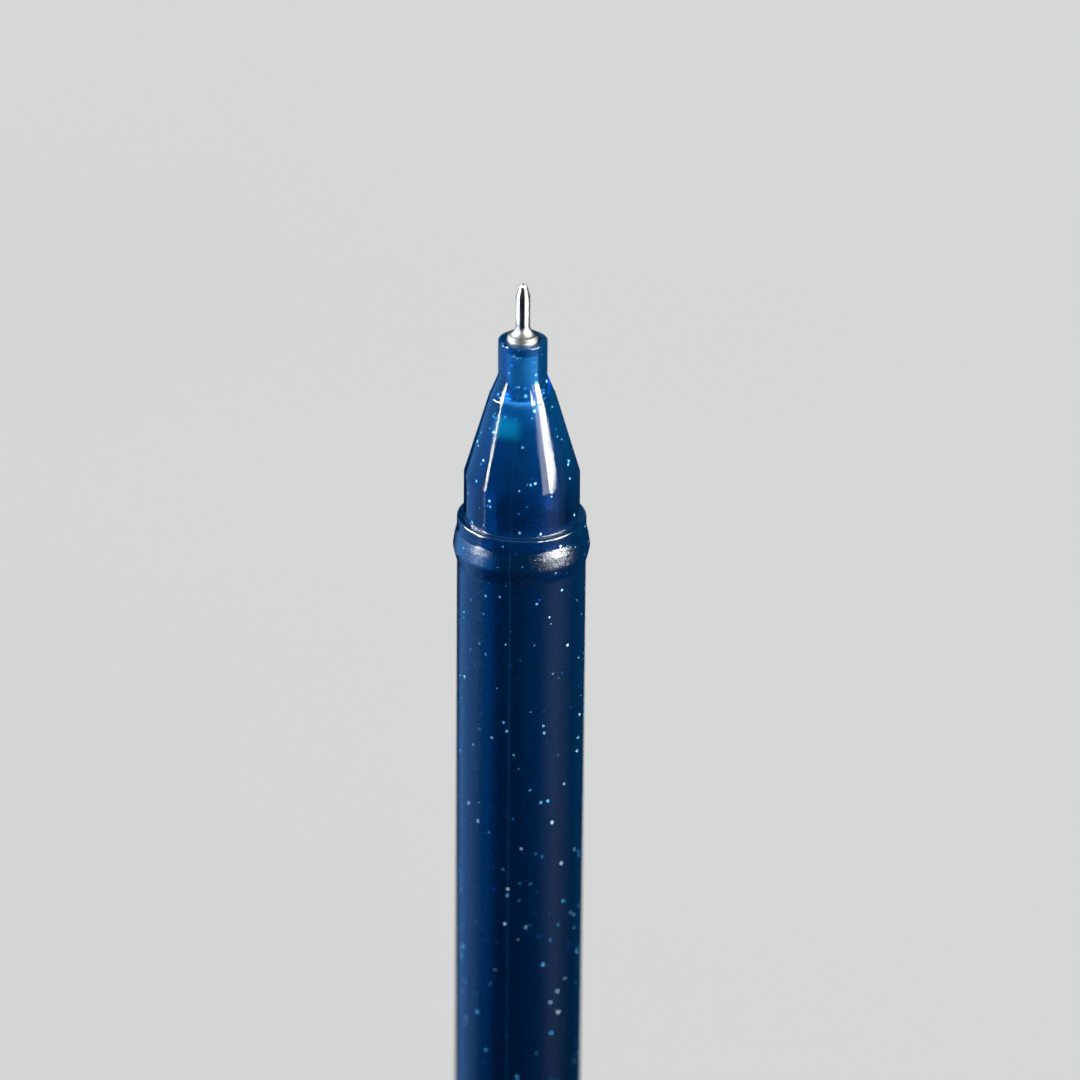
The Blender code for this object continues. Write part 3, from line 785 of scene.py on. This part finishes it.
seal = [
    (0.0, 6.2), (2.2, 6.2, 0.2), (2.2, 12.6, 0.4), (2.05, 13.0, 0.3), (2.05, 14.8, 0.3), (2.32, 15.2, 0.1), (2.5, 15.2, 0.1), (2.75, 14.9, 0.2), (2.75, 7.2, 0.3),
    (2.95, 6.6, 0.2), (4.6, 6.6, 0.15), (4.6, 5.56, 0.1), (0.0, 5.56),
]
se = lathe("neck_seal", rounded(seal, 10.0), even_angles(72), False)
finish_piece(se, [seal_mat], "cap", "cap_inner_seal")
pad = [(0.0, 7.6), (1.7, 7.6, 0.3), (2.1, 7.2, 0.2), (2.1, 6.25, 0.1), (0.0, 6.25)]
pa = lathe("ball_pad", rounded(pad, 10.0), even_angles(56), False)
finish_piece(pa, [pad_mat], "cap", "cap_tip_pad")

CAP_OUT = [p for p in cap_poly if p[0] > 5.7]


def cap_outer(z):
    return radius_on(cap_poly, z)


def cap_inner(z):
    if z < 5.6:
        return 4.93
    if z < 27.9:
        return 4.72
    return 5.68


flakes("cap_glitter", 620, 6.5, 50.5, cap_outer, cap_inner, 37, "cap")

# ------------------------------------------------------------------ pocket clip
# centre line of the strip in the YZ plane (y, z) mm, with width and thickness
path = rounded([
    (-3.2, 3.8), (-7.8, 3.8, 0.9), (-7.8, 31.2, 6.0), (-6.93, 36.9, 2.2), (-8.6, 41.3),
], 5.0)
path = subdivide(path, 0.8)
lengths = [0.0]
for a, b in zip(path, path[1:]):
    lengths.append(lengths[-1] + math.hypot(b[0] - a[0], b[1] - a[1]))
total = lengths[-1]


def section(w, th, rib):
    """Outline across the strip: (x, out) with rounded corners and a raised rib on the outer face."""
    pts = []
    rc = min(0.16, th * 0.35)
    half, t2 = w / 2, th / 2
    # inner face, left to right, then the outer face back
    for cx, cy, a0 in ((half - rc, -t2 + rc, -90), (half - rc, t2 - rc, 0), (-half + rc, t2 - rc, 90), (-half + rc, -t2 + rc, 180)):
        for q in range(4):
            a = math.radians(a0 + 90 * q / 3)
            pts.append([cx + rc * math.cos(a), cy + rc * math.sin(a)])
        if a0 == 0:
            # outer face from +x to -x with the rib
            for q in range(1, 12):
                x = (half - rc) * (1 - q / 6)
                lift = rib * (0.5 + 0.5 * math.cos(math.pi * min(1.0, abs(x) / 0.95)))
                pts.append([x, t2 + lift])
        if a0 == 180:
            for q in range(1, 6):
                pts.append([(-half + rc) + (w - 2 * rc) * q / 6, -t2])
    return pts


verts, faces = [], []
count = None
for idx, (y, z) in enumerate(path):
    s = lengths[idx]
    u = s / total
    ya, za = path[max(idx - 1, 0)]
    yb, zb = path[min(idx + 1, len(path) - 1)]
    d = Vector((0, yb - ya, zb - za)).normalized()
    out = Vector((0, -d.z, d.y))          # away from the cap on the straight run
    w = 3.6 - 0.7 * max(0.0, min(1.0, (s - 12.0) / 24.0))
    tail_len = total - s
    if tail_len < 1.2:                    # rounded free end
        w = w * math.sqrt(max(0.06, 1 - (1 - tail_len / 1.2) ** 2))
    th = 0.72
    rib = 0.12 * max(0.0, min(1.0, (s - 7.5) / 2.0)) * max(0.0, min(1.0, (total - 7.0 - s) / 2.5))
    sec = section(w, th, rib)
    count = len(sec)
    for x, o in sec:
        p = Vector((x, y, z)) + out * o
        verts.append(tuple(p * MM))
for idx in range(len(path) - 1):
    for s_ in range(count):
        s2 = (s_ + 1) % count
        faces.append([idx * count + s_, (idx + 1) * count + s_, (idx + 1) * count + s2, idx * count + s2])
faces.append(list(range(count)))
faces.append([(len(path) - 1) * count + s_ for s_ in reversed(range(count))])
me = bpy.data.meshes.new("pocket_clip")
me.from_pydata(verts, [], faces)
bm = bmesh.new()
bm.from_mesh(me)
bmesh.ops.recalc_face_normals(bm, faces=bm.faces)
bm.to_mesh(me)
bm.free()
me.shade_smooth()
me.set_sharp_from_angle(angle=math.radians(40))
clip = bpy.data.objects.new("pocket_clip", me)
collection.objects.link(clip)
finish_piece(clip, [clip_mat], "clip", "cap_clip")


# ------------------------------------------------------------------ stage
def floor_material():
    """A plain pale floor. It shows pale to the camera and stays dim in the pen's reflections."""
    k = Net("studio_floor")
    d = k.n("ShaderNodeBsdfDiffuse")
    cloud = k.noise(3.0, 2.0, 0.5)
    k.l(k.mixc(k.range(cloud, 0.3, 0.7, 0.0, 1.0), (0.70, 0.70, 0.696), (0.73, 0.73, 0.726)), d.inputs["Color"])
    e = k.n("ShaderNodeEmission")
    e.inputs["Color"].default_value = (1.0, 1.0, 0.995, 1.0)
    e.inputs["Strength"].default_value = 0.27
    add = k.n("ShaderNodeAddShader")
    k.l(d.outputs[0], add.inputs[0])
    k.l(e.outputs[0], add.inputs[1])
    dark = k.n("ShaderNodeEmission")
    xyz = k.n("ShaderNodeSeparateXYZ")
    k.l(k.obj(), xyz.inputs[0])
    far = k.math("SQRT", k.math("ADD", k.math("MULTIPLY", xyz.outputs[0], xyz.outputs[0]), k.math("MULTIPLY", xyz.outputs[1], xyz.outputs[1])))
    # close round the cap the floor shows as pale as it is, for the clip and the cap to mirror
    foot = k.range(far, 0.045, 0.078, 0.45, 0.004, True)
    k.l(k.math("ADD", foot, k.range(far, 0.55, 1.2, 0.0, 0.09, True)), dark.inputs["Strength"])
    k.l(k.mixc(k.range(far, 0.2, 0.6, 0.0, 1.0), (0.70, 0.88, 1.0), (0.04, 0.42, 1.0)), dark.inputs["Color"])
    path_ = k.n("ShaderNodeLightPath")
    mix = k.n("ShaderNodeMixShader")
    k.l(path_.outputs["Is Camera Ray"], mix.inputs[0])
    k.l(dark.outputs[0], mix.inputs[1])
    k.l(add.outputs[0], mix.inputs[2])
    return k.done(mix.outputs[0])


bm = bmesh.new()
bmesh.ops.create_circle(bm, cap_ends=True, segments=96, radius=12.0)
me = bpy.data.meshes.new("floor")
bm.to_mesh(me)
bm.free()
floor = bpy.data.objects.new("floor", me)
collection.objects.link(floor)
floor.location = (0, 0, -0.00005)
floor.data.materials.append(floor_material())

world = bpy.data.worlds.new("studio")
S.world = world
world.use_nodes = True
wt = world.node_tree
wt.nodes.clear()
wo = wt.nodes.new("ShaderNodeOutputWorld")
b_cam = wt.nodes.new("ShaderNodeBackground")
b_cam.inputs["Color"].default_value = (0.690, 0.700, 0.694, 1.0)
b_cam.inputs["Strength"].default_value = 1.0
b_dim = wt.nodes.new("ShaderNodeBackground")
b_dim.inputs["Color"].default_value = (0.15, 0.55, 1.0, 1.0)
b_dim.inputs["Strength"].default_value = 0.02
lp = wt.nodes.new("ShaderNodeLightPath")
mx = wt.nodes.new("ShaderNodeMixShader")
wt.links.new(lp.outputs["Is Camera Ray"], mx.inputs[0])
wt.links.new(b_dim.outputs[0], mx.inputs[1])
wt.links.new(b_cam.outputs[0], mx.inputs[2])
wt.links.new(mx.outputs[0], wo.inputs["Surface"])

CENTRE = Vector((0, 0, 0.150))


def panel(name, azimuth, distance, width, z_low, z_high, radiance, colour=(1, 1, 1), aim_z=None):
    """A soft panel standing round the pen: azimuth from -Y towards +X, edges at two heights, as a radiance."""
    data = bpy.data.lights.new(name, "AREA")
    data.shape = "RECTANGLE"
    data.size = width
    data.size_y = z_high - z_low
    data.color = colour
    # a one-sided diffuse emitter: radiance = power / (pi * area)
    data.energy = radiance * math.pi * data.size * data.size_y
    ob = bpy.data.objects.new(name, data)
    collection.objects.link(ob)
    a = math.radians(azimuth)
    ob.location = (distance * math.sin(a), -distance * math.cos(a), (z_low + z_high) / 2)
    look = Vector((0, 0, aim_z if aim_z is not None else (z_low + z_high) / 2)) - ob.location
    ob.rotation_mode = "QUATERNION"
    ob.rotation_quaternion = look.to_track_quat("-Z", "Y")
    ob.visible_camera = False
    return ob


# right key: a strip at 54 to 78 degrees, its lower edge level with the nose, and a softer one beside it
side_panels = [
    panel("key_right", 66, 0.60, 0.24, 0.152, 0.33, 24.0),
    panel("right_upper", 62, 0.62, 0.74, 0.350, 0.72, 30.0),
    panel("key_right_soft", 56, 0.62, 0.34, 0.156, 0.32, 5.0),
    panel("low_right", 64, 0.16, 0.070, 0.004, 0.150, 0.20, (0.95, 0.94, 1.0)),
    panel("low_right_soft", 66, 0.16, 0.175, 0.004, 0.150, 0.12, (0.95, 0.95, 0.95)),
    panel("blue_right", 137, 0.13, 0.10, 0.004, 0.145, 0.13, (0.0, 0.35, 1.0)),
    # left: a bright edge strip, a broad panel above it, and a wide dim blue one beyond
    panel("edge_left", -74.5, 0.60, 0.060, 0.130, 0.62, 20.0),
    panel("left_upper", -98, 0.60, 0.50, 0.275, 0.68, 34.0, (0.85, 0.94, 1.0)),
    panel("flare_left", -79, 0.60, 0.17, 0.238, 0.30, 20.0),
    panel("edge_left_low", -78, 0.20, 0.012, 0.050, 0.145, 1.6),
    panel("wide_left", -110, 0.13, 0.155, 0.004, 0.26, 1.3, (0.15, 0.43, 1.0)),
    panel("blue_left", -64, 0.16, 0.075, 0.004, 0.150, 1.2, (0.0, 0.27, 1.0)),
    panel("rear_soft", 165, 0.9, 0.5, 0.25, 0.8, 0.4, (0.12, 0.50, 1.0)),
]
# a dim square sheet straight above, for faces that look up
above = bpy.data.lights.new("above", "AREA")
above.shape = "SQUARE"
above.size = 1.1
above.energy = 0.5 * math.pi * above.size ** 2
above_ob = bpy.data.objects.new("above", above)
collection.objects.link(above_ob)
above_ob.location = (0.0, 0.0, 1.1)
above_ob.visible_camera = False
side_panels.append(above_ob)
# the panels model the pen only; the overhead lamp alone lights the floor, so it stays even
spared = bpy.data.collections.new("unlit_by_panels")
spared.objects.link(floor)
for lamp in side_panels:
    lamp.light_linking.receiver_collection = spared
spared.collection_objects[0].light_linking.link_state = "EXCLUDE"

sky = bpy.data.lights.new("overhead", "SUN")
sky.energy = 1.8
sky.angle = math.radians(62)
sky_ob = bpy.data.objects.new("overhead", sky)
collection.objects.link(sky_ob)
sky_ob.location = (0.0, 0.0, 1.5)
sky_ob.rotation_euler = (math.radians(8), math.radians(-10), 0.0)
floor_only = bpy.data.collections.new("lit_by_overhead")
floor_only.objects.link(floor)
sky_ob.light_linking.receiver_collection = floor_only

# ------------------------------------------------------------------ camera
ELEV, DIST, LENS, SIDE, ROLL = 25.97, 0.6939, 286.92, 0.00149, 0.47
cam_data = bpy.data.cameras.new("camera")
cam = bpy.data.objects.new("camera", cam_data)
collection.objects.link(cam)
cam_data.sensor_width = 36.0
cam_data.lens = LENS
cam_data.clip_start = 0.01
cam_data.clip_end = 50.0
target = Vector((SIDE, 0, (SHOULDER - 2.38) * MM))
e = math.radians(ELEV)
cam.location = target + Vector((0, -math.cos(e), math.sin(e))) * DIST
cam.rotation_mode = "QUATERNION"
q = (target - cam.location).to_track_quat("-Z", "Y")
cam.rotation_quaternion = q @ Matrix.Rotation(math.radians(ROLL), 4, "Z").to_quaternion()
focus = bpy.data.objects.new("focus", None)
collection.objects.link(focus)
focus.location = (0, 0, (SHOULDER + 4.0) * MM)
cam_data.dof.use_dof = True
cam_data.dof.focus_object = focus
cam_data.dof.aperture_fstop = 18.0
S.camera = cam

S.view_settings.view_transform = "Standard"
S.view_settings.look = "None"
S.view_settings.exposure = 0.0
S.view_settings.gamma = 1.0
